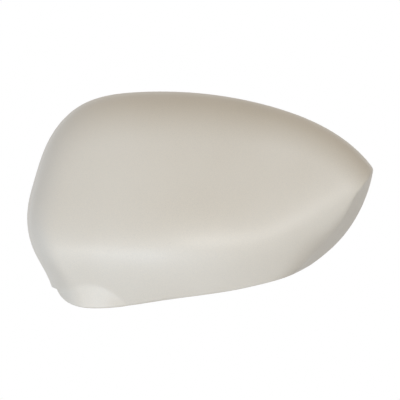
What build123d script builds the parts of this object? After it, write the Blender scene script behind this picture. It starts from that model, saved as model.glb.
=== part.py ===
from build123d import *

import os

import numpy as np

# Overall size, in millimetres. X runs outboard to the tip, Y to the rear and Z up.
WIDTH = 207.0
HEIGHT = 129.4
DEPTH = 82.0
WALL = 2.5

# Front face: a side section with a soft shoulder, carried along the plan curve.
NOSE_X = -24.0
INBOARD_SLOPE = 0.46
OUTBOARD_SLOPE = 0.60
PLAN_RADIUS = 140.0
SHOULDER_Z = -25.0
LOWER_SLOPE = 0.66
UPPER_SLOPE = 0.50
SHOULDER_RADIUS = 26.0
SWEEP_X = 42.0
SWEEP_SLOPE = 0.62
SWEEP_RADIUS = 60.0

# Lug at the inboard foot: a soft bump on the lower face.
LUG_X = -66.0
LUG_Z = -64.0
LUG_LENGTH = 27.0
LUG_REACH = 10.0
LUG_RISE = 5.5

# Side walls: draft, and how far each edge rolls over.
DRAFT = 4.0
ROLL_TOP = 30.0
ROLL_INBOARD = 16.0
ROLL_OUTBOARD = 11.0
ROLL_LOWER = 14.0

# Full outline of the dome at the rim plane, as shares of half the width and height.
DOME_OUTLINE = [
    (-1.0, -0.11),
    (-0.957, 0.20),
    (-0.866, 0.582),
    (-0.705, 0.862),
    (-0.346, 1.0),
    (0.06, 0.978),
    (0.436, 0.856),
    (0.755, 0.645),
    (0.90, 0.478),
    (1.03, 0.23),
    (1.06, -0.14),
    (0.84, -0.56),
    (0.52, -0.90),
    (0.14, -1.26),
    (-0.30, -1.48),
    (-0.68, -1.36),
    (-0.835, -0.98),
    (-0.90, -0.70),
    (-0.962, -0.46),
]
DOME_CENTRE = (-0.22, -1.12)

# Outboard facet: a drafted wall, round in the front view, whose draft fades from one angle to the other.
# Its centre is given as shares of half the width and height, its radius as a share of half the width.
FACET_CENTRE = (0.183, 0.49)
FACET_RADIUS = 0.834
FACET_DRAFT = 8.8
FADE_START = -54.0
FADE_END = -80.0

# Lower edge in the front view as shares of half the width and height, and the slanted cut of the rear edge.
NOTCH = (-0.836, -0.827)
LOWER_EDGE = [
    (-0.812, -0.890),
    (-0.749, -0.964),
    (-0.609, -1.0),
    (-0.193, -0.920),
    (0.24, -0.821),
    (0.445, -0.745),
]
LOWER_EDGE_END = (0.78, -0.69)
PARTING_Z = -28.0
PARTING_SLOPE = 0.60
PARTING_RADIUS = 40.0

# Locating pegs inside: a round pin on a tower of two crossed webs, at shares of half the width and height.
PEGS = [(0.0, 0.0), (0.62, 0.0)]
PEG_STAND = 10.0
PIN_RADIUS = 2.5
PIN_LENGTH = 8.0
PIN_CHAMFER = 0.8
TOWER_WIDTH = 10.0
TOWER_WEB = 1.6

# Snap hooks inside: place as shares of half the width and height, and the way each one faces, in degrees.
HOOKS = [
    (-0.53, 0.68, 105),
    (0.20, 0.66, 75),
    (0.80, 0.16, 5),
    (-0.84, 0.10, 175),
    (-0.42, -0.66, 265),
    (0.36, -0.52, 285),
]
HOOK_LENGTH = 24.0
HOOK_WIDTH = 12.0
HOOK_TAB = 2.0
HOOK_BARB = 2.2
HOOK_LEAD = 5.0
HOOK_BACK = 1.0

# Working values
SPOKES = 32
SECTORS = 4
RINGS = 18
TURN_STEPS = 200
FADE_STEPS = 6
EDGE_ROUNDS = 6
LARGEST_ROLL = 0.8
STEP = 0.001
TAIL = 10.0
FAR = 300.0
HALF_W = WIDTH / 2
HALF_H = HEIGHT / 2
CENTRE_X = DOME_CENTRE[0] * HALF_W
CENTRE_Z = DOME_CENTRE[1] * HALF_H


def bend(x, low_slope, high_slope, radius):
    """Drop of a soft bend: two straight slopes joined by a hyperbola of that radius."""
    mean = (high_slope + low_slope) / 2
    skew = (high_slope - low_slope) / 2
    soft = radius * mean**2
    return skew * x + np.hypot(mean * x, soft) - soft


def front_height(x, z):
    """Height of the front face over the rim plane."""
    shoulder = SHOULDER_Z + bend(x - SWEEP_X, 0, SWEEP_SLOPE, SWEEP_RADIUS)
    plan = bend(x - NOSE_X, INBOARD_SLOPE, OUTBOARD_SLOPE, PLAN_RADIUS)
    side = bend(z - shoulder, LOWER_SLOPE, UPPER_SLOPE, SHOULDER_RADIUS)
    lug = LUG_RISE * np.exp(-(((x - LUG_X) / LUG_LENGTH) ** 2) - ((z - LUG_Z) / LUG_REACH) ** 2)
    return DEPTH - plan - side + lug


def outline_rays():
    """Angle and distance from the dome's centre to points spaced evenly along its outline."""
    loop = Spline(*[(x * HALF_W, z * HALF_H) for x, z in DOME_OUTLINE], periodic=True)
    points = np.array([tuple(loop @ t)[:2] for t in np.linspace(0, 1, SPOKES, endpoint=False)])
    points -= (CENTRE_X, CENTRE_Z)
    return np.arctan2(points[:, 1], points[:, 0]), np.hypot(*points.T)


def easement():
    """A quarter turn whose bend grows and fades smoothly, scaled to end at (1, 1)."""
    way = np.linspace(0, 1, TURN_STEPS + 1)
    turn = np.pi / 2 * way**2 * (3 - 2 * way)
    step = np.diff(way)
    along = np.append(0, np.cumsum(np.cos((turn[1:] + turn[:-1]) / 2) * step))
    across = np.append(0, np.cumsum(np.sin((turn[1:] + turn[:-1]) / 2) * step))
    return way, along / along[-1], across / across[-1], 1 / along[-1]


WAY, ALONG, ACROSS, TURN_LENGTH = easement()


def face_height(angle, reach):
    """Height of the front face at a distance from the dome's centre."""
    return front_height(CENTRE_X + reach * np.cos(angle), CENTRE_Z + reach * np.sin(angle))


def dome_point(angle, rim, share):
    """A point of the dome, by its share of the way: over the front face, round the edge, down the wall."""
    cos, sin = np.cos(angle), np.sin(angle)
    lean = np.tan(np.radians(DRAFT))
    edge = rim
    for _ in range(EDGE_ROUNDS):
        edge = rim - face_height(angle, edge) * lean
    wall = face_height(angle, edge)
    roll = ROLL_TOP * np.maximum(sin, 0) ** 2 + ROLL_LOWER * np.minimum(sin, 0) ** 2
    roll = roll + ROLL_OUTBOARD * np.maximum(cos, 0) ** 2 + ROLL_INBOARD * np.minimum(cos, 0) ** 2
    roll = np.minimum(roll, LARGEST_ROLL * np.minimum(wall, edge))
    flat = edge - roll
    turn = roll * TURN_LENGTH
    way = share * (flat + turn + wall - roll + TAIL)
    part = np.clip((way - flat) / turn, 0, 1)
    inset = np.where(way < flat, edge - way, roll * (1 - np.interp(part, WAY, ALONG)))
    down = roll * np.interp(part, WAY, ACROSS) + np.maximum(way - flat - turn, 0)
    reach = edge - inset + down * lean
    height = face_height(angle, edge - inset) - down
    return np.stack([CENTRE_X + reach * cos, -height, CENTRE_Z + reach * sin], axis=-1)


def ring_wire(points):
    """A closed smooth curve through the points, in sectors that share their tangents."""
    one = np.eye(SPOKES)
    ahead, behind = np.roll(one, 1, axis=1), np.roll(one, -1, axis=1)
    slopes = np.linalg.solve(4 * one + ahead + behind, 3 * (ahead - behind) @ points)
    size = SPOKES // SECTORS
    edges = []
    for start in range(0, SPOKES, size):
        spokes = np.arange(start, start + size + 1) % SPOKES
        through = [tuple(p) for p in points[spokes]]
        ends = [tuple(p) for p in slopes[spokes[[0, -1]]]]
        edges.append(Edge.make_spline(through, ends, parameters=list(range(size + 1)), scale=False))
    return Wire(edges)


def dome(inset):
    """The solid inside the dome moved in by the inset, from a plane behind the rim to the nose."""
    angle, rim = outline_rays()
    share = np.linspace(0, 1, RINGS + 1)[1:, None]
    points = dome_point(angle, rim, share)
    along = dome_point(angle, rim, share + STEP) - dome_point(angle, rim, share - STEP)
    around = np.roll(points, -1, axis=1) - np.roll(points, 1, axis=1)
    normal = np.cross(around, along)
    points = points - inset * normal / np.linalg.norm(normal, axis=-1, keepdims=True)
    points[-1, :, 1] = TAIL
    rings = [ring_wire(ring) for ring in points]
    pole = Vertex(CENTRE_X, -front_height(CENTRE_X, CENTRE_Z) + inset, CENTRE_Z)
    return Solid.make_loft([pole] + rings)


def facet_profile(height, inset):
    """The facet at one height in the front view: a straight, an arc, the fading stretch and a straight."""
    slope = np.tan(np.radians(FACET_DRAFT))
    full = FACET_RADIUS * HALF_W
    way = np.linspace(0, 1, FADE_STEPS + 1)
    lean = slope * (1 - way**2 * (3 - 2 * way))
    radii = full - height * lean - inset * np.hypot(1, lean)
    angles = np.radians(FADE_START + way * (FADE_END - FADE_START))
    points = [(r * np.cos(a), r * np.sin(a)) for r, a in zip(radii, angles)]
    onward = [Vector(np.sin(a), -np.cos(a)) for a in angles[[0, -1]]]
    fade = Edge.make_spline(points, onward, parameters=list(way))
    far = fade @ 1 + onward[-1] * FAR
    radius = radii[0]
    half_way = np.radians(FADE_START / 2)
    edges = [
        Line((radius, FAR), (radius, 0)),
        ThreePointArc((radius, 0), (radius * np.cos(half_way), radius * np.sin(half_way)), points[0]),
        fade,
        Line(fade @ 1, far),
        Line(far, (far.X, FAR)),
        Line((far.X, FAR), (radius, FAR)),
    ]
    centre = (FACET_CENTRE[0] * HALF_W, -height, FACET_CENTRE[1] * HALF_H)
    return Plane(origin=centre, x_dir=(1, 0, 0), z_dir=(0, -1, 0)) * Wire(edges)


def facet(inset):
    """All that lies inside the outboard facet."""
    return Solid.make_loft([facet_profile(-TAIL, inset), facet_profile(DEPTH + TAIL, inset)], ruled=True)


def kept_region():
    """What the lower edge in the front view and the slanted rear cut leave."""
    points = [(x * HALF_W, z * HALF_H) for x, z in [NOTCH] + LOWER_EDGE + [LOWER_EDGE_END]]
    first, last = points[0], points[-1]
    edge = Spline(*points)
    sides = Polyline(last, (FAR, last[1]), (FAR, FAR), (-FAR, FAR), (-FAR, first[1]), first)
    front = Plane.XZ * make_face(edge.edges() + sides.edges())
    above = extrude(front, FAR, both=True)
    foot = PARTING_Z - FAR * PARTING_SLOPE
    side = Polyline((0, FAR), (0, PARTING_Z), (-FAR, foot), (-FAR, FAR), close=True)
    profile = make_face(side.edges())
    corner = profile.vertices().sort_by(Axis.X)[-2:].sort_by(Axis.Y)[0]
    profile = fillet([corner], PARTING_RADIUS)
    ahead = extrude(Plane.YZ * profile, FAR, both=True)
    return above & ahead


def inner_height(x, z):
    """Height of the inner face over the rim plane, near enough to place what stands on it."""
    return front_height(x, z) - WALL


def peg(x, z):
    """A locating peg pointing rearward: its webs run forward into the wall."""
    shoulder = PEG_STAND - inner_height(x, z)
    web = Pos(x, shoulder - FAR / 2, z) * Box(TOWER_WIDTH, FAR, TOWER_WEB)
    cross_web = Pos(x, shoulder - FAR / 2, z) * Box(TOWER_WEB, FAR, TOWER_WIDTH)
    pin = Cylinder(PIN_RADIUS, PIN_LENGTH, align=(Align.CENTER, Align.CENTER, Align.MIN))
    pin = chamfer(pin.edges().sort_by(Axis.Z)[-1], PIN_CHAMFER)
    seat = Plane(origin=(x, shoulder, z), x_dir=(1, 0, 0), z_dir=(0, 1, 0))
    return web + cross_web + seat * pin


def hook(x, z, facing):
    """A snap hook pointing rearward: a flat tab with a barb on its inner side."""
    tip = HOOK_LENGTH - inner_height(x, z)
    way = np.radians(facing)
    side = Plane(origin=(x, 0, z), x_dir=(np.cos(way), 0, np.sin(way)), z_dir=(-np.sin(way), 0, np.cos(way)))
    section = Polyline(
        (0, -FAR),
        (0, tip),
        (-HOOK_TAB, tip),
        (-HOOK_TAB - HOOK_BARB, tip - HOOK_LEAD),
        (-HOOK_TAB, tip - HOOK_LEAD - HOOK_BACK),
        (-HOOK_TAB, -FAR),
        close=True,
    )
    return extrude(side * make_face(section.edges()), HOOK_WIDTH / 2, both=True)


def fixings():
    """Every peg and hook, from the middle of the wall rearward."""
    middle = dome(WALL / 2) & facet(WALL / 2)
    pegs = [peg(x * HALF_W, z * HALF_H) for x, z in PEGS]
    hooks = [hook(x * HALF_W, z * HALF_H, facing) for x, z, facing in HOOKS]
    return [piece & middle for piece in pegs + hooks]


def mirror_cover():
    """The cover, moved so that the main peg's shoulder is at the origin."""
    outer = dome(0) & facet(0) & kept_region()
    inner = dome(WALL) & facet(WALL)
    cover = outer - inner
    for piece in fixings():
        cover = cover + piece
    main_x, main_z = PEGS[0][0] * HALF_W, PEGS[0][1] * HALF_H
    return Pos(-main_x, inner_height(main_x, main_z) - PEG_STAND, -main_z) * cover


if __name__ == "__main__":
    os.makedirs("parts", exist_ok=True)
    export_step(mirror_cover(), "parts/mirror_cover.step")
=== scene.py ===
"""Wing mirror cover: a thin moulded shell with its pegs and hooks, its primer finish and a small studio."""

import bpy
import numpy as np
from bpy.props import FloatProperty, FloatVectorProperty, IntProperty, PointerProperty
from bpy.types import Operator, Panel, PropertyGroup
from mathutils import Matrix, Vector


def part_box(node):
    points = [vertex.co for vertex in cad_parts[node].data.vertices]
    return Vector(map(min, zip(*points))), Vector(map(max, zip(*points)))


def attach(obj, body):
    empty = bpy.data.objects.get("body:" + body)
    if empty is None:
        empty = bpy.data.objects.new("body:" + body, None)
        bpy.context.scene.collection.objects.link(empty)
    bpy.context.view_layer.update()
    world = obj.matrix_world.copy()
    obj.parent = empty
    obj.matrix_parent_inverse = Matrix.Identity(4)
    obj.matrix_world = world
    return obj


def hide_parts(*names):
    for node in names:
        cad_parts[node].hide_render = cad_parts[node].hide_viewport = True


bl_info = {
    "name": "Wing Mirror Cover",
    "version": (1, 0, 0),
    "blender": (4, 5, 0),
    "location": "View3D > Sidebar > Mirror Cover",
    "description": "Builds a car's wing mirror cover from its section curves, with its finish and a studio",
    "category": "Add Mesh",
}

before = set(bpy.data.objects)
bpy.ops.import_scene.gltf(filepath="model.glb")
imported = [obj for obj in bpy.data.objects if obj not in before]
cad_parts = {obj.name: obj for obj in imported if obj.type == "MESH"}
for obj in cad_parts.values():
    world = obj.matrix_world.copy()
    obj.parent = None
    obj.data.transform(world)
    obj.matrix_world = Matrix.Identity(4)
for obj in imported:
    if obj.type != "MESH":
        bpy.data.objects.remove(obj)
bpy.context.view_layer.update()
RIM_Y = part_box("mirror_cover")[1].y

MM = 0.001

# Full outline of the dome at the rim plane, as shares of half the width and height.
DOME_OUTLINE = (
    (-1.0, -0.11),
    (-0.957, 0.20),
    (-0.866, 0.582),
    (-0.705, 0.862),
    (-0.346, 1.0),
    (0.06, 0.978),
    (0.436, 0.856),
    (0.755, 0.645),
    (0.90, 0.478),
    (1.03, 0.23),
    (1.10, -0.14),
    (1.00, -0.66),
    (0.72, -1.08),
    (0.28, -1.40),
    (-0.30, -1.48),
    (-0.68, -1.36),
    (-0.83, -0.98),
    (-0.89, -0.70),
    (-0.966, -0.46),
)

# The point round which the dome is drawn, and the centre of the facet's arc, as shares of the same kind.
DOME_CENTRE = (-0.22, -1.12)
FACET_CENTRE = (0.183, 0.49)

# Lower edge in the front view, as shares of half the width and height, from the notch at the inboard end.
LOWER_EDGE = (
    (-0.824, -0.830),
    (-0.798, -0.900),
    (-0.742, -0.964),
    (-0.609, -1.0),
    (-0.193, -0.927),
    (0.24, -0.825),
    (0.36, -0.782),
    (0.44, -0.750),
    (0.515, -0.711),
    (0.60, -0.651),
    (0.72, -0.535),
)

# Where the lower edge passes into the inboard side, as a share of half the width.
FOOT_CORNER = -0.70

# Pegs and hooks inside, as shares of half the width and height, with the way each hook faces in degrees.
PEGS = {
    "main_peg": (0.0, 0.0),
    "outboard_peg": (0.62, 0.0),
}
HOOKS = {
    "hook_top_inboard": (-0.53, 0.68, 105.0),
    "hook_top_outboard": (0.20, 0.66, 75.0),
    "hook_outboard": (0.80, 0.16, 5.0),
    "hook_inboard": (-0.84, 0.10, 175.0),
    "hook_lower_inboard": (-0.42, -0.66, 265.0),
    "hook_lower_outboard": (0.36, -0.52, 285.0),
}

# The picture's size in pixels, its middle, and the camera's sensor in millimetres.
PICTURE = 400
PICTURE_CENTRE = (0.15 * MM, -0.15 * MM)
SENSOR = 36.0

# The lamps' places in metres, plain white, and the highest level that a colour may have.
LEFT_LAMP = (-0.72, -1.75, -0.25)
RIGHT_LAMP = (0.95, -1.5, 0.35)
FILL_LAMP = (0.0, -1.2, -0.6)
WHITE = (1.0, 1.0, 1.0, 1.0)
BRIGHTEST = 2.0

# Directions between which the light all round changes, as heights or sideways shares of a unit vector.
RISE_RANGE = (-0.2, 0.8)
LEFT_RANGE = (-0.5, -1.0)
RIGHT_RANGE = (0.1, 0.8)

# Detail and contrast of the finish's patterns, and the mist's width as a multiple of the overspray.
GRAIN_DETAIL = 1.0
PATCH_DETAIL = 3.0
PATCH_ROUGHNESS = 0.4
PATCH_RANGE = (0.35, 0.65)
ROUGHNESS_SPREAD = 0.04
MIST = 1.5

# Numbers of steps in the curves, the solves and the meshes.
TURN_STEPS = 4000
OUTLINE_STEPS = 20000
FINE = 4000
EDGE_ROUNDS = 6
HALVINGS = 40
STRIP = 8
CORNER_STEPS = 4
WIDTH_STEPS = 10

# The largest roll of an edge, as a share of the wall's height or of the edge's reach.
LARGEST_ROLL = 0.8

# The way out at which the search for the rear edge starts, as a share of the cover's height.
REAR_SEARCH = 0.25

# The step over which a slope is taken, and the swing to each side within which an angle is sought.
STEP = 0.01 * MM
SWING = np.radians(28)

# The widest angle past the facet's ends at which its straight run is still worked out.
WIDEST_TURN = np.radians(80)

# The middle point of a small rounding, as a share of its size, and the angle past which a corner is sharp.
MIDWAY = 0.25
SHARP = np.radians(40)


def length(name, millimetres, description):
    """A length property whose default is given in millimetres."""
    metres = millimetres * MM
    return FloatProperty(name=name, description=description, default=metres, unit="LENGTH", precision=5)


def number(name, value, description):
    """A plain number property."""
    return FloatProperty(name=name, description=description, default=value)


def whole(name, value, least, description):
    """A whole number property with a least value."""
    return IntProperty(name=name, description=description, default=value, min=least)


def degrees(name, value, description):
    """An angle property whose default is given in degrees."""
    return FloatProperty(name=name, description=description, default=np.radians(value), subtype="ANGLE")


def colour(name, value, description):
    """A colour property."""
    return FloatVectorProperty(
        name=name, description=description, default=value, subtype="COLOR", size=4, max=BRIGHTEST
    )


class CoverShape(PropertyGroup):
    """Sizes of the shell."""

    width: length("Width", 207.0, "Across the cover, from the inboard side to the tip")
    height: length("Height", 129.4, "From the foot to the top")
    depth: length("Depth", 82.0, "From the rim plane to the front face's highest line")
    wall: length("Wall", 2.5, "Thickness of the moulding")
    nose_x: length("Nose", -24.0, "Where the plan curve turns")
    inboard_slope: number("Inboard slope", 0.46, "Fall of the front face towards the car")
    outboard_slope: number("Outboard slope", 0.60, "Fall of the front face towards the tip")
    plan_radius: length("Plan radius", 140.0, "Radius of the plan curve at the nose")
    shoulder_z: length("Shoulder height", -25.0, "Height of the soft shoulder at the inboard end")
    lower_slope: number("Lower slope", 0.66, "Fall of the face below the shoulder")
    upper_slope: number("Upper slope", 0.50, "Fall of the face above the shoulder")
    shoulder_radius: length("Shoulder radius", 26.0, "Radius of the shoulder")
    sweep_x: length("Sweep", 42.0, "Where the shoulder starts to sweep up")
    sweep_slope: number("Sweep slope", 0.62, "How steeply the shoulder sweeps up to the tip")
    sweep_radius: length("Sweep radius", 60.0, "Radius of the shoulder's sweep")
    lug_x: length("Lug X", -67.0, "Middle of the lug at the foot")
    lug_z: length("Lug Z", -50.5, "Height at which the lug folds out of the face, at its middle")
    lug_arc: length("Lug arc", 22.0, "Radius of the lug's fold in the front view")
    lug_slope: number("Lug slope", 0.46, "How steeply the lug turns out of the face")
    lug_soft: length("Lug softness", 6.0, "Radius of the lug's fold")
    draft: degrees("Draft", 4.0, "Lean of the side walls")
    roll_top: length("Top roll", 30.0, "How far in the top edge starts to roll over")
    roll_inboard: length("Inboard roll", 16.0, "How far in the inboard edge starts to roll over")
    roll_outboard: length("Outboard roll", 11.0, "How far in the outboard edge starts to roll over")
    roll_lower: length("Lower roll", 14.0, "How far in the lower edge starts to roll over")
    facet_radius: number("Facet radius", 0.834, "Radius of the facet at the rim, over half the width")
    facet_draft: degrees("Facet draft", 10.0, "Lean of the outboard facet")
    fade_start: degrees("Fade start", -46.0, "Angle at which the facet's lean starts to fade")
    fade_end: degrees("Fade end", -72.0, "Angle at which the facet's lean has gone")
    crease_tip: length("Crease at the tip", 1.2, "Width of the rounding of the crease at the tip")
    crease_foot: length("Crease at the foot", 9.0, "Width of the rounding of the crease where it fades")
    crease_tip_end: degrees("Crease end at the tip", -5.0, "Angle at which the crease meets the outline")
    crease_open: degrees("Crease open", -24.0, "Angle at which the facet has its full width")
    crease_start: degrees("Crease start", -16.0, "Angle at which the crease starts to soften")
    crease_end: degrees("Crease end", -58.0, "Angle at which the crease is at its softest")
    crease_gone: degrees("Crease gone", -84.0, "Angle at which the crease has gone")
    parting_z: length("Parting height", -28.0, "Height below which the rear edge slants forward")
    parting_slope: number("Parting slope", 0.60, "How steeply the rear edge slants forward")
    parting_radius: length("Parting radius", 40.0, "Radius of the bend of the rear edge")
    edge_round: length("Edge rounding", 0.6, "How far the free edges are rounded")
    columns: whole("Columns", 330, 20, "Mesh lines from the lower to the rear edge")
    rows: whole("Rows", 130, 20, "Mesh lines along the shell")


class CoverFixings(PropertyGroup):
    """Sizes of the pegs and hooks inside."""

    peg_stand: length("Peg stand", 10.0, "Height of a peg's shoulder over the inner face")
    pin_radius: length("Pin radius", 2.5, "Radius of a peg's pin")
    pin_length: length("Pin length", 8.0, "Length of a peg's pin")
    pin_chamfer: length("Pin chamfer", 0.8, "Chamfer at the end of a peg's pin")
    tower_width: length("Tower width", 10.0, "Width of a peg's crossed webs")
    tower_web: length("Tower web", 1.6, "Thickness of a peg's crossed webs")
    hook_length: length("Hook length", 24.0, "How far a hook stands off the inner face")
    hook_width: length("Hook width", 12.0, "Width of a hook")
    hook_tab: length("Hook thickness", 2.0, "Thickness of a hook's tab")
    hook_barb: length("Hook barb", 2.2, "How far a hook's barb stands out")
    hook_lead: length("Hook lead-in", 5.0, "Length of a barb's lead-in")
    hook_back: length("Hook back", 1.0, "Length of a barb's back slope")
    root_fillet: length("Root fillet", 0.8, "Fillet where a peg or hook meets the wall")
    corner_ease: length("Corner ease", 0.3, "Rounding of the moulded corners")
    pin_sides: whole("Pin sides", 48, 8, "Mesh lines round a pin")


class CoverFinish(PropertyGroup):
    """Colours and surface of the primer and of the bare moulding inside."""

    primer: colour("Primer", (0.598, 0.556, 0.48, 1.0), "Colour of the primer")
    primer_warm: colour("Primer, warm", (0.583, 0.537, 0.456, 1.0), "Colour where the primer lies thin")
    moulding: colour("Moulding", (0.50, 0.485, 0.45, 1.0), "Colour of the bare plastic inside")
    moulding_dark: colour("Moulding, dark", (0.44, 0.425, 0.395, 1.0), "Colour of the plastic's flow marks")
    primer_roughness: number("Primer roughness", 0.40, "Roughness of the primer")
    moulding_roughness: number("Moulding roughness", 0.6, "Roughness of the bare plastic")
    specular: number("Specular", 0.6, "Specular level of the primer and of the plastic")
    drift_size: length("Drift size", 70.0, "Size of the patches of thinner primer")
    peel_size: length("Peel size", 1.6, "Size of the spray texture's dimples")
    peel_depth: length("Peel depth", 0.012, "Depth of the spray texture's dimples")
    grain_size: length("Grain size", 0.5, "Size of the bare plastic's grain")
    grain_depth: length("Grain depth", 0.01, "Depth of the bare plastic's grain")
    overspray: length("Overspray", 9.0, "How far the primer reaches in over the rim")


class CoverStudio(PropertyGroup):
    """Camera, lights and floor."""

    pixel: length("Pixel", 0.6, "What one pixel of the picture spans at the rim plane")
    camera_distance: length("Camera distance", 8000.0, "From the camera to the rim plane")
    floor_drop: length("Floor drop", 700.0, "From the frame's origin down to the floor")
    floor_size: length("Floor size", 2000.0, "Side of the floor")
    floor: colour("Floor", (0.82, 0.82, 0.82, 1.0), "Colour of the floor")
    above: colour("Light from above", (0.43, 0.335, 0.21, 1.0), "Its colour and level")
    below: colour("Light from below", (0.30, 0.34, 0.41, 1.0), "Its colour and level")
    inboard: colour("Light from the left", (1.2, 1.34, 1.55, 1.0), "Its colour and level")
    outboard: colour("Light from the lower right", (0.03, 0.025, 0.02, 1.0), "Its colour and level")
    left_power: number("Left lamp", 6.6, "Watts of the soft lamp at the front left")
    right_power: number("Right lamp", 13.2, "Watts of the soft lamp at the front right")
    fill_power: number("Fill lamp", 8.8, "Watts of the soft cool lamp low in front")
    fill: colour("Fill colour", (0.69, 0.82, 1.0, 1.0), "Colour of the lamp low in front")
    lamp_size: length("Lamp size", 600.0, "Side of each soft lamp")


def smoothstep(low, high, x):
    """0 below low, 1 above high, and an S-curve between them."""
    t = np.clip((x - low) / (high - low), 0, 1)
    return t * t * (3 - 2 * t)


def spline(points, closed, samples):
    """Points along the cubic that passes through the given ones with no jump in curvature.

    Each stretch is a cubic in the chord length, and one linear solve gives the slopes at the points.
    """
    p = np.array(points, float)
    if closed:
        p = np.vstack([p, p[:1]])
    chord = np.hypot(*np.diff(p, axis=0).T)
    count = len(p)
    system = np.zeros((count, count))
    right = np.zeros((count, 2))
    rise = np.diff(p, axis=0) / chord[:, None]
    i = np.arange(1, count - 1)
    system[i, i - 1] = chord[1:]
    system[i, i] = 2 * (chord[1:] + chord[:-1])
    system[i, i + 1] = chord[:-1]
    right[i] = 3 * (chord[1:, None] * rise[:-1] + chord[:-1, None] * rise[1:])
    if closed:
        system[0, [0, -1]] = 1, -1
        system[-1, [0, 1]] = 2 * chord[-1], chord[-1]
        system[-1, [-1, -2]] = 2 * chord[0], chord[0]
        right[-1] = 3 * (chord[0] * rise[-1] + chord[-1] * rise[0])
    else:
        system[0, [0, 1]] = 2, 1
        system[-1, [-1, -2]] = 2, 1
        right[0], right[-1] = 3 * rise[0], 3 * rise[-1]
    slope = np.linalg.solve(system, right)
    knots = np.append(0, np.cumsum(chord))
    at = np.linspace(0, knots[-1], samples)
    k = np.clip(np.searchsorted(knots, at, side="right") - 1, 0, count - 2)
    t = ((at - knots[k]) / chord[k])[:, None]
    h = chord[k][:, None]
    ends = (1 + 2 * t) * (1 - t) ** 2 * p[k] + t**2 * (3 - 2 * t) * p[k + 1]
    return ends + h * (t * (1 - t) ** 2 * slope[k] - t**2 * (1 - t) * slope[k + 1])


def steps_along(points):
    """Distance along each line of points, whose points lie along the last axis but one."""
    step = np.linalg.norm(np.diff(points, axis=-2), axis=-1)
    start = np.zeros(step.shape[:-1] + (1,))
    return np.concatenate([start, np.cumsum(step, axis=-1)], axis=-1)


def even(points, count):
    """The indices, as fractions, of count points spaced evenly along a line of points."""
    way = steps_along(points)
    return np.interp(np.linspace(0, way[-1], count), way, np.arange(len(points)))


def pick(values, at):
    """Values of a fine list at fractional indices."""
    return np.interp(at, np.arange(len(values)), values)


def halve(low, high, test):
    """Where each element's test turns true, by halving the interval between low and high."""
    low, high = np.array(low, float), np.array(high, float)
    for _ in range(HALVINGS):
        middle = (low + high) / 2
        found = test(middle)
        high = np.where(found, middle, high)
        low = np.where(found, low, middle)
    return (low + high) / 2


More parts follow.
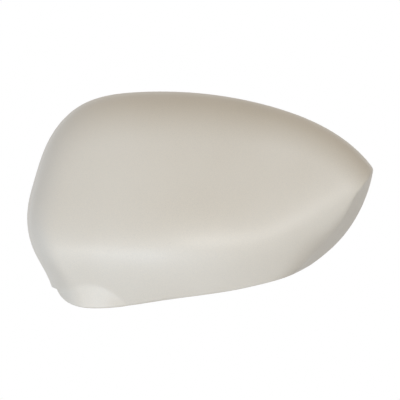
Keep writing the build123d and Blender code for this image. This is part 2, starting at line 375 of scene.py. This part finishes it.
class Shell:
    """The shell's surfaces as functions of an angle round the dome's centre and a way out from it."""

    def __init__(self, shape):
        self.s = shape
        self.half = np.array([shape.width / 2, shape.height / 2])
        self.centre = np.array(DOME_CENTRE) * self.half
        self.facet_centre = np.array(FACET_CENTRE) * self.half
        loop = spline(np.array(DOME_OUTLINE) * self.half, True, OUTLINE_STEPS) - self.centre
        angle = np.mod(np.arctan2(loop[:, 1], loop[:, 0]), 2 * np.pi)
        order = np.argsort(angle)
        self.loop_angle = angle[order]
        self.loop_reach = np.hypot(*loop.T)[order]
        self.easement()

    def easement(self):
        """A quarter turn whose bend grows and fades smoothly, scaled to end at (1, 1)."""
        self.turn_way = np.linspace(0, 1, TURN_STEPS + 1)
        turn = np.pi / 2 * smoothstep(0, 1, self.turn_way)
        middle = (turn[1:] + turn[:-1]) / 2
        along = np.append(0, np.cumsum(np.cos(middle))) / TURN_STEPS
        across = np.append(0, np.cumsum(np.sin(middle))) / TURN_STEPS
        self.turn_along, self.turn_across = along / along[-1], across / across[-1]
        self.turn_length = 1 / along[-1]

    @staticmethod
    def bend(x, low_slope, high_slope, radius):
        """Drop of a soft bend: two straight slopes joined by a hyperbola of that radius."""
        mean = (high_slope + low_slope) / 2
        skew = (high_slope - low_slope) / 2
        soft = radius * mean**2
        return skew * x + np.hypot(mean * x, soft) - soft

    def front_height(self, x, z):
        """Height of the front face over the rim plane: the depth, less a bend in plan and one in side view.

        The lug adds a third bend, which starts along a parabola in the front view.
        """
        s = self.s
        shoulder = s.shoulder_z + self.bend(x - s.sweep_x, 0, s.sweep_slope, s.sweep_radius)
        plan = self.bend(x - s.nose_x, s.inboard_slope, s.outboard_slope, s.plan_radius)
        side = self.bend(z - shoulder, s.lower_slope, s.upper_slope, s.shoulder_radius)
        fold = s.lug_z - (x - s.lug_x) ** 2 / (2 * s.lug_arc) - z
        lug = self.bend(fold, 0, s.lug_slope, s.lug_soft) + s.lug_soft * (s.lug_slope / 2) ** 2
        return s.depth - plan - side + lug

    def place(self, angle, reach):
        """The point of the front view at an angle and a distance from the dome's centre."""
        return self.centre[0] + reach * np.cos(angle), self.centre[1] + reach * np.sin(angle)

    def face_height(self, angle, reach):
        """Height of the front face at a distance from the dome's centre."""
        return self.front_height(*self.place(angle, reach))

    def rim_reach(self, angle):
        """Distance from the dome's centre to its outline at the rim plane."""
        return np.interp(np.mod(angle, 2 * np.pi), self.loop_angle, self.loop_reach, period=2 * np.pi)

    def dome(self, angle, way):
        """The dome at a way out from its centre: over the front face, round the edge and down the wall."""
        s = self.s
        cos, sin = np.cos(angle), np.sin(angle)
        lean = np.tan(s.draft)
        rim = self.rim_reach(angle)
        edge = rim
        for _ in range(EDGE_ROUNDS):
            edge = rim - self.face_height(angle, edge) * lean
        wall = self.face_height(angle, edge)
        roll = s.roll_top * np.maximum(sin, 0) ** 2 + s.roll_lower * np.minimum(sin, 0) ** 2
        roll = roll + s.roll_outboard * np.maximum(cos, 0) ** 2 + s.roll_inboard * np.minimum(cos, 0) ** 2
        roll = np.minimum(roll, LARGEST_ROLL * np.minimum(wall, edge))
        flat = edge - roll
        turn = roll * self.turn_length
        part = np.clip((way - flat) / turn, 0, 1)
        along = np.interp(part, self.turn_way, self.turn_along)
        across = np.interp(part, self.turn_way, self.turn_across)
        inset = np.where(way < flat, edge - way, roll * (1 - along))
        down = roll * across + np.maximum(way - flat - turn, 0)
        reach = edge - inset + down * lean
        height = self.face_height(angle, edge - inset) - down
        x, z = self.place(angle, reach)
        return np.stack([x, -height, z], axis=-1)

    def dome_normal(self, angle, way):
        """Outward unit normal of the dome, from its steps along the angle and the way."""
        turn = STEP / self.half[1]
        around = self.dome(angle + turn, way) - self.dome(angle - turn, way)
        along = self.dome(angle, way + STEP) - self.dome(angle, way - STEP)
        normal = np.cross(along, around)
        return normal / np.linalg.norm(normal, axis=-1, keepdims=True)

    def facet_gap(self, point, inset):
        """How far a point stands out past the facet, with its distance and angle from the arc's centre.

        The facet is an arc that leans back with the height, and goes on straight past its two ends.
        """
        s = self.s
        x, z = point[..., 0] - self.facet_centre[0], point[..., 2] - self.facet_centre[1]
        reach, angle = np.hypot(x, z), np.arctan2(z, x)
        lean = np.tan(s.facet_draft) * smoothstep(s.fade_end, s.fade_start, angle)
        lean = lean * smoothstep(s.crease_tip_end, s.crease_open, angle)
        radius = s.facet_radius * self.half[0] + point[..., 1] * lean - inset * np.hypot(1, lean)
        off = np.maximum(angle, 0) - np.minimum(angle - s.fade_end, 0)
        limit = radius / np.cos(np.minimum(off, WIDEST_TURN))
        return reach - limit, reach, angle

    def room(self, angle):
        """How far the dome's outline stands out past the facet."""
        x, z = self.place(angle, self.rim_reach(angle))
        return self.facet_gap(np.stack([x, np.zeros_like(x), z], axis=-1), 0)[0]

    def facet(self, point, inset, room):
        """Pulls what stands out past the facet in to it, with a corner that softens along the crease.

        Within a softening s of the facet the corner is a parabola, which takes off (s - |gap|)^2 / 4s.
        The softening takes up no more than the room between the facet and the dome's outline.
        """
        s = self.s
        gap, reach, angle = self.facet_gap(point, inset)
        swell = smoothstep(s.crease_start, s.crease_end, angle)
        swell = swell * smoothstep(s.crease_gone, s.crease_end, angle)
        soft = s.crease_tip + (s.crease_foot - s.crease_tip) * swell
        soft = np.minimum(soft, np.maximum(room, s.crease_tip))
        blend = np.maximum(soft - np.abs(gap), 0) ** 2 / (4 * soft)
        moved = (reach - np.maximum(gap, 0) - blend) / reach
        out = point.copy()
        out[..., 0] = self.facet_centre[0] + (point[..., 0] - self.facet_centre[0]) * moved
        out[..., 2] = self.facet_centre[1] + (point[..., 2] - self.facet_centre[1]) * moved
        return out

    def outer(self, angle, way):
        """Outer surface: the dome pulled in to the facet."""
        return self.facet(self.dome(angle, way), 0, self.room(angle))

    def inner(self, angle, way):
        """Inner surface: the dome and the facet, each moved in by the wall."""
        moved = self.dome(angle, way) - self.s.wall * self.dome_normal(angle, way)
        return self.facet(moved, self.s.wall, self.room(angle))

    def rear_cut(self, z):
        """Height of the rear edge over the rim plane, which slants forward below the parting height."""
        s = self.s
        rise = s.parting_radius * (s.parting_slope / 2) ** 2
        return rise + self.bend(z - s.parting_z, s.parting_slope, 0, s.parting_radius) + s.edge_round

    def angle_of(self, x, z):
        """Angle of a point in the front view round the dome's centre."""
        return np.arctan2(z - self.centre[1], x - self.centre[0])

    def rear_way(self, angle):
        """The way at which the outer surface reaches the rear edge."""

        def past(way):
            point = self.outer(angle, way)
            return -point[..., 1] < self.rear_cut(point[..., 2])

        start = np.zeros_like(angle) + self.s.height * REAR_SEARCH
        return halve(start, start + self.s.width + self.s.depth, past)

    def reach_way(self, x, z):
        """Angle and way at which the dome passes a point of the front view."""
        angle = self.angle_of(x, z)
        reach = np.hypot(x - self.centre[0], z - self.centre[1])

        def past(way):
            point = self.dome(angle, way)
            return np.hypot(point[..., 0] - self.centre[0], point[..., 2] - self.centre[1]) > reach

        return angle, halve(np.zeros_like(angle), np.zeros_like(angle) + self.s.width, past)

    def wall_at(self, x, z):
        """Place along Y of the inner wall at points of the front view: the dome's, set back by the wall."""
        angle, way = self.reach_way(x, z)
        return self.dome(angle, way)[..., 1] - self.s.wall / self.dome_normal(angle, way)[..., 1]

    def foot_line(self):
        """The lower edge in the front view, raised by the edge's rounding."""
        return spline(np.array(LOWER_EDGE) * self.half, False, FINE) + (0, self.s.edge_round)

    def facet_start(self, edge):
        """Index of the lower edge's first point that lies past the facet."""
        front = np.stack([edge[:, 0], -self.front_height(*edge.T), edge[:, 1]], axis=-1)
        past = (self.facet_gap(front, 0)[0] > 0) & (edge[:, 0] > self.facet_centre[0])
        return np.argmax(past)

    def edge_angle(self, edge, way, near):
        """The angle, near a given one, at which the outer surface at a way out meets the lower edge."""

        def above(angle):
            point = self.outer(angle, way)
            return point[..., 2] > np.interp(point[..., 0], *edge.T)

        return halve(near - SWING, near + SWING, above)

    def outboard_side(self, edge, angle, way):
        """The lower edge's last stretch, along the facet, as angles and ways up to the rear edge."""

        def past(far):
            point = self.outer(self.edge_angle(edge, far, angle), far)
            return -point[..., 1] < self.rear_cut(point[..., 2])

        ways = np.linspace(way, halve(way, way + self.s.width, past), FINE)
        angles = self.edge_angle(edge, ways, angle)
        at = even(self.outer(angles, ways), self.s.rows)
        return np.stack([pick(angles, at), pick(ways, at)], axis=-1)

    def borders(self):
        """The four sides of the shell in angle and way: lower, rear, inboard and outboard."""
        s = self.s
        edge = self.foot_line()
        first = np.argmin(np.abs(edge[:, 0] - FOOT_CORNER * self.half[0]))
        foot, lug = edge[first : self.facet_start(edge) + 1], edge[first::-1]
        foot = foot[np.round(even(foot, s.columns)).astype(int)]
        foot_angle, foot_way = self.reach_way(*foot.T)
        outboard_part = foot[:, 0] > self.facet_centre[0]
        foot_angle = np.where(outboard_part, self.edge_angle(edge, foot_way, foot_angle), foot_angle)
        outboard = self.outboard_side(edge, foot_angle[-1], foot_way[-1])
        lug_angle, lug_way = self.reach_way(*lug.T)
        rear_angle = np.linspace(lug_angle[-1], outboard[-1, 0], FINE)
        rear_way = self.rear_way(rear_angle)
        at = even(self.outer(rear_angle, rear_way), s.columns)
        rear = np.stack([pick(rear_angle, at), pick(rear_way, at)], axis=-1)
        wall_way = np.linspace(lug_way[-1], rear[0, 1], FINE)
        side_angle = np.concatenate([lug_angle, np.full(FINE, lug_angle[-1])])
        side_way = np.concatenate([lug_way, wall_way])
        at = even(self.outer(side_angle, side_way), s.rows)
        inboard = np.stack([pick(side_angle, at), pick(side_way, at)], axis=-1)
        return np.stack([foot_angle, foot_way], axis=-1), rear, inboard, outboard

    def grid(self):
        """Angle and way of every mesh point: the four sides blended across the shell."""
        foot, rear, inboard, outboard = self.borders()
        t = np.linspace(0, 1, self.s.columns)[:, None, None]
        b = np.linspace(0, 1, self.s.rows)[None, :, None]
        sides = (1 - t) * inboard[None] + t * outboard[None]
        ends = (1 - b) * foot[:, None] + b * rear[:, None]
        corners = (1 - t) * ((1 - b) * foot[0] + b * rear[0]) + t * ((1 - b) * foot[-1] + b * rear[-1])
        both = sides + ends - corners
        return both[..., 0], both[..., 1]


def border_loop(columns, rows):
    """Indices of a grid's border points, once round."""
    index = np.arange(columns * rows).reshape(columns, rows)
    return np.concatenate([index[:-1, 0], index[-1, :-1], index[:0:-1, -1], index[0, :0:-1]])


def grid_faces(columns, rows):
    """Quads between the points of a grid."""
    index = np.arange(columns * rows).reshape(columns, rows)
    corners = [index[:-1, :-1], index[1:, :-1], index[1:, 1:], index[:-1, 1:]]
    return np.stack(corners, axis=-1).reshape(-1, 4)


def edge_strip(outside, inside, round_by):
    """Lines of points from the outer to the inner border, which bulge out past both.

    At a share v of the way across, the bulge is the rounding times the root of 1 - |2v - 1|^3.
    """
    along = np.roll(outside, -1, axis=0) - np.roll(outside, 1, axis=0)
    out = np.cross(inside - outside, along)
    out = out / np.linalg.norm(out, axis=1, keepdims=True)
    v = np.linspace(0, 1, STRIP + 1)[1:-1, None, None]
    return outside + (inside - outside) * v + round_by * np.sqrt(1 - np.abs(2 * v - 1) ** 3) * out


def depth_inside(inner):
    """Distance of each inner point from the nearest free edge, along the mesh lines."""
    along, across = steps_along(inner.swapaxes(0, 1)).T, steps_along(inner)
    along = np.minimum(along, along[-1:] - along)
    across = np.minimum(across, across[:, -1:] - across)
    return np.minimum(along, across)


def shell_mesh(shell):
    """Points and quads of the closed shell, and how deep inside each point lies.

    The outer and inner grids are joined by a rounded strip round the free edge.
    """
    s = shell.s
    angle, way = shell.grid()
    outer, inner = shell.outer(angle, way), shell.inner(angle, way)
    inner[:, -1, 1] = -shell.rear_cut(inner[:, -1, 2])
    depth = depth_inside(inner).ravel()
    outer, inner = outer.reshape(-1, 3), inner.reshape(-1, 3)
    count = len(outer)
    loop = border_loop(s.columns, s.rows)
    strip = edge_strip(outer[loop], inner[loop], s.edge_round)
    points = np.concatenate([outer, inner, strip.reshape(-1, 3)])
    depth = np.concatenate([np.zeros(count), depth, np.zeros(strip.size // 3)])
    lines = 2 * count + np.arange(strip.size // 3).reshape(-1, len(loop))
    lines = np.vstack([loop, lines, count + loop])
    ahead = np.roll(lines, -1, axis=1)
    band = np.stack([lines[:-1], lines[1:], ahead[1:], ahead[:-1]], axis=-1).reshape(-1, 4)
    quads = grid_faces(s.columns, s.rows)
    return points, [quads, count + quads[:, ::-1], band], depth


def eased(corners, ease):
    """A closed polygon whose corners are short parabolas: ease times the way back, (1-t)^2, and on, t^2."""
    p = np.array(corners, float)
    back, on = np.roll(p, 1, axis=0) - p, np.roll(p, -1, axis=0) - p
    back = back / np.linalg.norm(back, axis=1, keepdims=True)
    on = on / np.linalg.norm(on, axis=1, keepdims=True)
    t = np.linspace(0, 1, CORNER_STEPS + 1)[:, None]
    return (p[:, None] + ease * (back[:, None] * (1 - t) ** 2 + on[:, None] * t**2)).reshape(-1, 2)


def outward(outline):
    """Outward unit normals of a closed outline that runs anticlockwise."""
    along = np.roll(outline, -1, axis=0) - np.roll(outline, 1, axis=0)
    normal = np.stack([along[:, 1], -along[:, 0]], axis=-1)
    return normal / np.linalg.norm(normal, axis=1, keepdims=True)


def skin(rings):
    """Points and faces of a closed body through rings of points, with a flat face at each end."""
    count, size = rings.shape[:2]
    index = np.arange(count * size).reshape(count, size)
    ahead = np.roll(index, -1, axis=1)
    sides = np.stack([index[:-1], index[1:], ahead[1:], ahead[:-1]], axis=-1).reshape(-1, 4)
    return rings.reshape(-1, 3), [sides, index[:1], index[-1:, ::-1]]


def joined(bodies):
    """Points and faces of several bodies as one."""
    points = np.concatenate([body[0] for body in bodies])
    starts = np.cumsum([0] + [len(body[0]) for body in bodies])
    return points, [faces + start for body, start in zip(bodies, starts) for faces in body[1]]


def peg_tower(shell, fixings, x, z, top):
    """A peg's crossed webs: the outline of a plus, carried from the wall to the top, flared at its root."""
    f = fixings
    arm, web, ease, fillet = f.tower_width / 2, f.tower_web / 2, f.corner_ease, f.root_fillet
    quarter = np.array([(arm, -web), (arm, web), (web, web)])
    turn = np.array([(0, 1), (-1, 0)])
    outline = eased(np.concatenate([quarter @ np.linalg.matrix_power(turn, k) for k in range(4)]), ease)
    # For each ring: its inset, its share of the way from the wall to the top, and its rise over that.
    steps = [
        (-fillet, 0, -shell.s.wall / 2),
        (-fillet * MIDWAY, 0, fillet * MIDWAY),
        (0, 0, fillet),
        (0, 1, -ease),
        (ease * MIDWAY, 1, -ease * MIDWAY),
        (ease, 1, 0),
    ]
    inset, share, rise = np.array(steps).T[..., None]
    flat = (x, z) + outline - inset[..., None] * outward(outline)
    height = (1 - share) * shell.wall_at(flat[..., 0], flat[..., 1]) + share * top + rise
    return skin(np.stack([flat[..., 0], height, flat[..., 1]], axis=-1))


def peg_pin(fixings, x, z, top):
    """A peg's pin: a circle carried along a profile of radius and height, chamfered at its end."""
    f = fixings
    ease, chamfer, fillet = f.corner_ease, f.pin_chamfer, f.root_fillet / 2
    side, end = f.pin_radius, f.pin_length
    profile = [
        (side + fillet, -f.root_fillet),
        (side + fillet, 0),
        (side + fillet * MIDWAY, fillet * MIDWAY),
        (side, fillet),
        (side, end - chamfer - ease),
        (side - ease * MIDWAY, end - chamfer),
        (side - chamfer + ease * MIDWAY, end - ease * MIDWAY),
        (side - chamfer - ease, end),
    ]
    radius, height = np.array(profile).T[..., None]
    angle = np.linspace(0, 2 * np.pi, f.pin_sides, endpoint=False)
    rings = np.empty((len(profile), f.pin_sides, 3))
    rings[..., 0] = x + radius * np.cos(angle)
    rings[..., 1] = top + height
    rings[..., 2] = z + radius * np.sin(angle)
    return skin(rings)


def hook_body(shell, fixings, x, z, facing):
    """A snap hook: a tab with a barb as a profile in its own plane, carried across its width.

    The root's points follow the wall, and the profile draws in at both ends of the width.
    """
    f = fixings
    ease, fillet, wall = f.corner_ease, f.root_fillet, shell.s.wall
    root = shell.wall_at(np.array(x), np.array(z))
    tip = wall + f.hook_length - shell.front_height(x, z)
    barb = tip - f.hook_lead
    corners = [
        (fillet, root - wall / 2),
        (0, root + fillet),
        (0, tip),
        (-f.hook_tab, tip),
        (-f.hook_tab - f.hook_barb, barb),
        (-f.hook_tab, barb - f.hook_back),
        (-f.hook_tab, root + fillet),
        (-f.hook_tab - fillet, root - wall / 2),
    ]
    outline = eased(corners, ease)
    at_root = np.repeat([1, 1, 0, 0, 0, 0, 1, 1], CORNER_STEPS + 1)
    half = f.hook_width / 2
    middle = np.linspace(half - ease, ease - half, WIDTH_STEPS)
    across = np.concatenate([[half, half - ease * MIDWAY], middle, [ease * MIDWAY - half, -half]])
    inset = np.concatenate([[ease, ease * MIDWAY], np.zeros(WIDTH_STEPS), [ease * MIDWAY, ease]])
    flat = outline - inset[:, None, None] * outward(outline)
    cos, sin = np.cos(facing), np.sin(facing)
    rings = np.empty(flat.shape[:2] + (3,))
    rings[..., 0] = x + flat[..., 0] * cos - across[:, None] * sin
    rings[..., 2] = z + flat[..., 0] * sin + across[:, None] * cos
    rings[..., 1] = flat[..., 1] + at_root * (shell.wall_at(rings[..., 0], rings[..., 2]) - root)
    return skin(rings)


def new_piece(name, points, faces, material):
    """A smooth mesh object at the origin, riding on the cover's body."""
    points = points + (0, RIM_Y, 0)
    corners = np.concatenate([part.ravel() for part in faces])
    sizes = np.concatenate([np.full(part.shape[0], part.shape[1]) for part in faces])
    mesh = bpy.data.meshes.new(name)
    mesh.vertices.add(len(points))
    mesh.vertices.foreach_set("co", points.astype(np.float32).ravel())
    mesh.loops.add(len(corners))
    mesh.loops.foreach_set("vertex_index", corners.astype(np.int32))
    mesh.polygons.add(len(sizes))
    mesh.polygons.foreach_set("loop_start", np.append(0, np.cumsum(sizes)[:-1]).astype(np.int32))
    mesh.update(calc_edges=True)
    mesh.validate()
    mesh.shade_smooth()
    mesh.materials.append(material)
    piece = bpy.data.objects.new(name, mesh)
    bpy.context.scene.collection.objects.link(piece)
    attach(piece, "root")
    return piece


def node(tree, kind, settings=None, **values):
    """A new shader node with its settings, and its inputs' values by their names."""
    made = tree.nodes.new(kind)
    for name, value in (settings or {}).items():
        setattr(made, name, value)
    for name, value in values.items():
        made.inputs[name.replace("_", " ")].default_value = value
    return made


def chain(tree, *pairs):
    """Links each pair of sockets."""
    for source, target in pairs:
        tree.links.new(source, target)


def surface_marks():
    """Node group: a fine grain of a given size as a height, and slow patches of a given size as a mask."""
    group = bpy.data.node_groups.new("surface_marks", "ShaderNodeTree")
    for name in ("Grain Scale", "Patch Scale"):
        group.interface.new_socket(name, in_out="INPUT", socket_type="NodeSocketFloat")
    for name in ("Grain", "Patch"):
        group.interface.new_socket(name, in_out="OUTPUT", socket_type="NodeSocketFloat")
    given = node(group, "NodeGroupInput")
    made = node(group, "NodeGroupOutput")
    place = node(group, "ShaderNodeTexCoord")
    grain = node(group, "ShaderNodeTexNoise", Detail=GRAIN_DETAIL)
    patch = node(group, "ShaderNodeTexNoise", Detail=PATCH_DETAIL, Roughness=PATCH_ROUGHNESS)
    spread = node(group, "ShaderNodeMapRange", From_Min=PATCH_RANGE[0], From_Max=PATCH_RANGE[1])
    chain(
        group,
        (place.outputs["Object"], grain.inputs["Vector"]),
        (place.outputs["Object"], patch.inputs["Vector"]),
        (given.outputs["Grain Scale"], grain.inputs["Scale"]),
        (given.outputs["Patch Scale"], patch.inputs["Scale"]),
        (patch.outputs["Fac"], spread.inputs["Value"]),
        (grain.outputs["Fac"], made.inputs["Grain"]),
        (spread.outputs["Result"], made.inputs["Patch"]),
    )
    return group


def marks_node(tree, grain_size, patch_size):
    """The surface marks at given sizes, in a material."""
    group = bpy.data.node_groups.get("surface_marks") or surface_marks()
    made = node(tree, "ShaderNodeGroup", {"node_tree": group})
    made.inputs["Grain Scale"].default_value = 1 / grain_size
    made.inputs["Patch Scale"].default_value = 1 / patch_size
    return made


def colour_mix(tree, factor, first, second):
    """A mix of two colours, each a value or a socket, by a mask's socket."""
    made = node(tree, "ShaderNodeMix", {"data_type": "RGBA"})
    tree.links.new(factor, made.inputs["Factor"])
    for name, value in (("A", first), ("B", second)):
        socket = next(s for s in made.inputs if s.name == name and s.type == "RGBA")
        if isinstance(value, bpy.types.NodeSocket):
            tree.links.new(value, socket)
        else:
            socket.default_value = value
    return next(s for s in made.outputs if s.type == "RGBA")


def number_mix(tree, factor, low, high):
    """A number that runs from low to high as the mask's socket runs from 0 to 1."""
    made = node(tree, "ShaderNodeMapRange", To_Min=low, To_Max=high)
    tree.links.new(factor, made.inputs["Value"])
    return made.outputs["Result"]


def soft_mask(tree, source, low, high):
    """A mask that rises in an S-curve as the socket's value runs from low to high."""
    curve = {"interpolation_type": "SMOOTHSTEP"}
    made = node(tree, "ShaderNodeMapRange", curve, From_Min=low, From_Max=high)
    tree.links.new(source, made.inputs["Value"])
    return made.outputs["Result"]


def new_material(name, specular):
    """A new material at a specular level, with its node tree and its shader."""
    material = bpy.data.materials.new(name)
    material.use_nodes = True
    shader = material.node_tree.nodes["Principled BSDF"]
    shader.inputs["Specular IOR Level"].default_value = specular
    return material, material.node_tree, shader


def bare_moulding(finish):
    """Bare plastic, made once: a fine grain and faint flow marks."""
    if "bare_moulding" in bpy.data.materials:
        return bpy.data.materials["bare_moulding"]
    material, tree, shader = new_material("bare_moulding", finish.specular)
    marks = marks_node(tree, finish.grain_size, finish.drift_size)
    bump = node(tree, "ShaderNodeBump", Distance=finish.grain_depth)
    tint = colour_mix(tree, marks.outputs["Patch"], finish.moulding, finish.moulding_dark)
    smoothest = finish.moulding_roughness - ROUGHNESS_SPREAD
    roughest = finish.moulding_roughness + ROUGHNESS_SPREAD
    chain(
        tree,
        (tint, shader.inputs["Base Color"]),
        (number_mix(tree, marks.outputs["Patch"], smoothest, roughest), shader.inputs["Roughness"]),
        (marks.outputs["Grain"], bump.inputs["Height"]),
        (bump.outputs["Normal"], shader.inputs["Normal"]),
    )
    return material


def primed_moulding(finish):
    """Satin primer outside, thinning in a speckled mist over the rim to the bare plastic inside."""
    material, tree, shader = new_material("primed_moulding", finish.specular)
    primer = marks_node(tree, finish.peel_size, finish.drift_size)
    plastic = marks_node(tree, finish.grain_size, finish.drift_size)
    depth = node(tree, "ShaderNodeAttribute", {"attribute_name": "depth_inside"})
    ragged = node(tree, "ShaderNodeMath", {"operation": "MULTIPLY_ADD"})
    ragged.inputs[1].default_value = finish.overspray
    mask = soft_mask(tree, ragged.outputs["Value"], 0, MIST * finish.overspray)
    rough = number_mix(tree, mask, finish.primer_roughness, finish.moulding_roughness)
    outside = colour_mix(tree, primer.outputs["Patch"], finish.primer, finish.primer_warm)
    inside = colour_mix(tree, plastic.outputs["Patch"], finish.moulding, finish.moulding_dark)
    height = node(tree, "ShaderNodeMix", {"data_type": "FLOAT"})
    bump = node(tree, "ShaderNodeBump", Distance=finish.peel_depth)
    chain(
        tree,
        (plastic.outputs["Grain"], ragged.inputs[0]),
        (depth.outputs["Fac"], ragged.inputs[2]),
        (colour_mix(tree, mask, outside, inside), shader.inputs["Base Color"]),
        (rough, shader.inputs["Roughness"]),
        (mask, height.inputs["Factor"]),
        (primer.outputs["Grain"], height.inputs["A"]),
        (plastic.outputs["Grain"], height.inputs["B"]),
        (height.outputs["Result"], bump.inputs["Height"]),
        (bump.outputs["Normal"], shader.inputs["Normal"]),
    )
    return material


class COVER_OT_shell(Operator):
    """Builds the shell in place of the frame's solid."""

    bl_idname = "cover.shell"
    bl_label = "Shell"

    def execute(self, context):
        points, faces, depth = shell_mesh(Shell(context.scene.cover_shape))
        piece = new_piece("cover_shell", points, faces, primed_moulding(context.scene.cover_finish))
        attribute = piece.data.attributes.new("depth_inside", "FLOAT", "POINT")
        attribute.data.foreach_set("value", depth.astype(np.float32))
        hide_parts("mirror_cover")
        return {"FINISHED"}


class COVER_OT_pegs(Operator):
    """Builds the locating pegs inside."""

    bl_idname = "cover.pegs"
    bl_label = "Pegs"

    def execute(self, context):
        shell, fixings = Shell(context.scene.cover_shape), context.scene.cover_fixings
        material = bare_moulding(context.scene.cover_finish)
        for name, share in PEGS.items():
            x, z = share * shell.half
            top = shell.s.wall + fixings.peg_stand - shell.front_height(x, z)
            bodies = [peg_tower(shell, fixings, x, z, top), peg_pin(fixings, x, z, top)]
            piece = new_piece(name, *joined(bodies), material)
            piece.data.set_sharp_from_angle(angle=SHARP)
        return {"FINISHED"}


class COVER_OT_hooks(Operator):
    """Builds the snap hooks inside."""

    bl_idname = "cover.hooks"
    bl_label = "Hooks"

    def execute(self, context):
        shell, fixings = Shell(context.scene.cover_shape), context.scene.cover_fixings
        material = bare_moulding(context.scene.cover_finish)
        for name, (share_x, share_z, facing) in HOOKS.items():
            x, z = (share_x, share_z) * shell.half
            piece = new_piece(name, *hook_body(shell, fixings, x, z, np.radians(facing)), material)
            piece.data.set_sharp_from_angle(angle=SHARP)
        return {"FINISHED"}


def soft_lamp(name, place, power, size, tint=WHITE):
    """A square lamp that faces the cover."""
    lamp = bpy.data.lights.new(name, "AREA")
    lamp.energy = power
    lamp.size = size
    lamp.color = tint[:3]
    holder = bpy.data.objects.new(name, lamp)
    holder.location = place
    holder.rotation_euler = (-holder.location).to_track_quat("-Z", "Y").to_euler()
    bpy.context.scene.collection.objects.link(holder)


def studio_world(studio):
    """Light that is cool below, warm above, strong at the left and dim at the lower right.

    Where the world is seen or mirrored it is white.
    """
    world = bpy.data.worlds.new("studio")
    world.use_nodes = True
    tree = world.node_tree
    tree.nodes.clear()
    place = node(tree, "ShaderNodeTexCoord")
    axes = node(tree, "ShaderNodeSeparateXYZ")
    rightward = soft_mask(tree, axes.outputs["X"], *RIGHT_RANGE)
    upward = soft_mask(tree, axes.outputs["Z"], *RISE_RANGE)
    leftward = soft_mask(tree, axes.outputs["X"], *LEFT_RANGE)
    low = colour_mix(tree, rightward, studio.below, studio.outboard)
    upright = colour_mix(tree, upward, low, studio.above)
    all_round = colour_mix(tree, leftward, upright, studio.inboard)
    path = node(tree, "ShaderNodeLightPath")
    seen = node(tree, "ShaderNodeMath", {"operation": "MAXIMUM"})
    white_seen = node(tree, "ShaderNodeMath", {"operation": "MAXIMUM"})
    light = node(tree, "ShaderNodeBackground")
    white = node(tree, "ShaderNodeBackground", Color=WHITE)
    choice = node(tree, "ShaderNodeMixShader")
    output = node(tree, "ShaderNodeOutputWorld")
    chain(
        tree,
        (place.outputs["Generated"], axes.inputs["Vector"]),
        (all_round, light.inputs["Color"]),
        (path.outputs["Is Camera Ray"], seen.inputs[0]),
        (path.outputs["Is Glossy Ray"], seen.inputs[1]),
        (seen.outputs["Value"], white_seen.inputs[0]),
        (path.outputs["Is Transmission Ray"], white_seen.inputs[1]),
        (white_seen.outputs["Value"], choice.inputs["Fac"]),
        (light.outputs["Background"], choice.inputs[1]),
        (white.outputs["Background"], choice.inputs[2]),
        (choice.outputs["Shader"], output.inputs["Surface"]),
    )
    bpy.context.scene.world = world


def pale_floor(studio):
    """A flat pale floor below the cover."""
    half = studio.floor_size / 2
    corners = np.array([(-half, -half), (half, -half), (half, half), (-half, half)])
    mesh = bpy.data.meshes.new("floor")
    mesh.from_pydata(np.insert(corners, 2, -studio.floor_drop, axis=1).tolist(), [], [(0, 1, 2, 3)])
    material = bpy.data.materials.new("pale_floor")
    material.use_nodes = True
    shader = material.node_tree.nodes["Principled BSDF"]
    shader.inputs["Base Color"].default_value = studio.floor
    shader.inputs["Roughness"].default_value = 1.0
    mesh.materials.append(material)
    floor = bpy.data.objects.new("floor", mesh)
    bpy.context.scene.collection.objects.link(floor)


def front_camera(studio):
    """A long lens square on to the front, whose frame is the picture's."""
    camera = bpy.data.cameras.new("camera")
    camera.sensor_width = SENSOR
    camera.lens = SENSOR * studio.camera_distance / (studio.pixel * PICTURE)
    camera.clip_end = 2 * studio.camera_distance
    holder = bpy.data.objects.new("camera", camera)
    holder.location = (PICTURE_CENTRE[0], RIM_Y - studio.camera_distance, PICTURE_CENTRE[1])
    holder.rotation_euler = (np.pi / 2, 0, 0)
    bpy.context.scene.collection.objects.link(holder)
    bpy.context.scene.camera = holder


class COVER_OT_studio(Operator):
    """Sets up the light, the floor and the camera."""

    bl_idname = "cover.studio"
    bl_label = "Studio"

    def execute(self, context):
        studio = context.scene.cover_studio
        context.scene.view_settings.view_transform = "Standard"
        studio_world(studio)
        soft_lamp("lamp_left", LEFT_LAMP, studio.left_power, studio.lamp_size)
        soft_lamp("lamp_right", RIGHT_LAMP, studio.right_power, studio.lamp_size)
        soft_lamp("lamp_fill", FILL_LAMP, studio.fill_power, studio.lamp_size, studio.fill)
        pale_floor(studio)
        front_camera(studio)
        return {"FINISHED"}


class COVER_PT_panel(Panel):
    """Lists the steps that build the cover."""

    bl_label = "Mirror Cover"
    bl_space_type = "VIEW_3D"
    bl_region_type = "UI"
    bl_category = "Mirror Cover"

    def draw(self, context):
        for step in OPERATORS:
            self.layout.operator(step.bl_idname)


GROUPS = {
    "cover_shape": CoverShape,
    "cover_fixings": CoverFixings,
    "cover_finish": CoverFinish,
    "cover_studio": CoverStudio,
}
OPERATORS = (COVER_OT_shell, COVER_OT_pegs, COVER_OT_hooks, COVER_OT_studio)


def register():
    """Registers the classes and gives the scene its settings."""
    for cls in (*GROUPS.values(), *OPERATORS, COVER_PT_panel):
        bpy.utils.register_class(cls)
    for name, cls in GROUPS.items():
        setattr(bpy.types.Scene, name, PointerProperty(type=cls))


def unregister():
    """Takes away what register added."""
    for name in GROUPS:
        delattr(bpy.types.Scene, name)
    for cls in (COVER_PT_panel, *OPERATORS, *GROUPS.values()):
        bpy.utils.unregister_class(cls)


def main():
    """Builds the cover and its studio."""
    register()
    bpy.ops.cover.shell()
    bpy.ops.cover.pegs()
    bpy.ops.cover.hooks()
    bpy.ops.cover.studio()


if __name__ == "__main__":
    main()
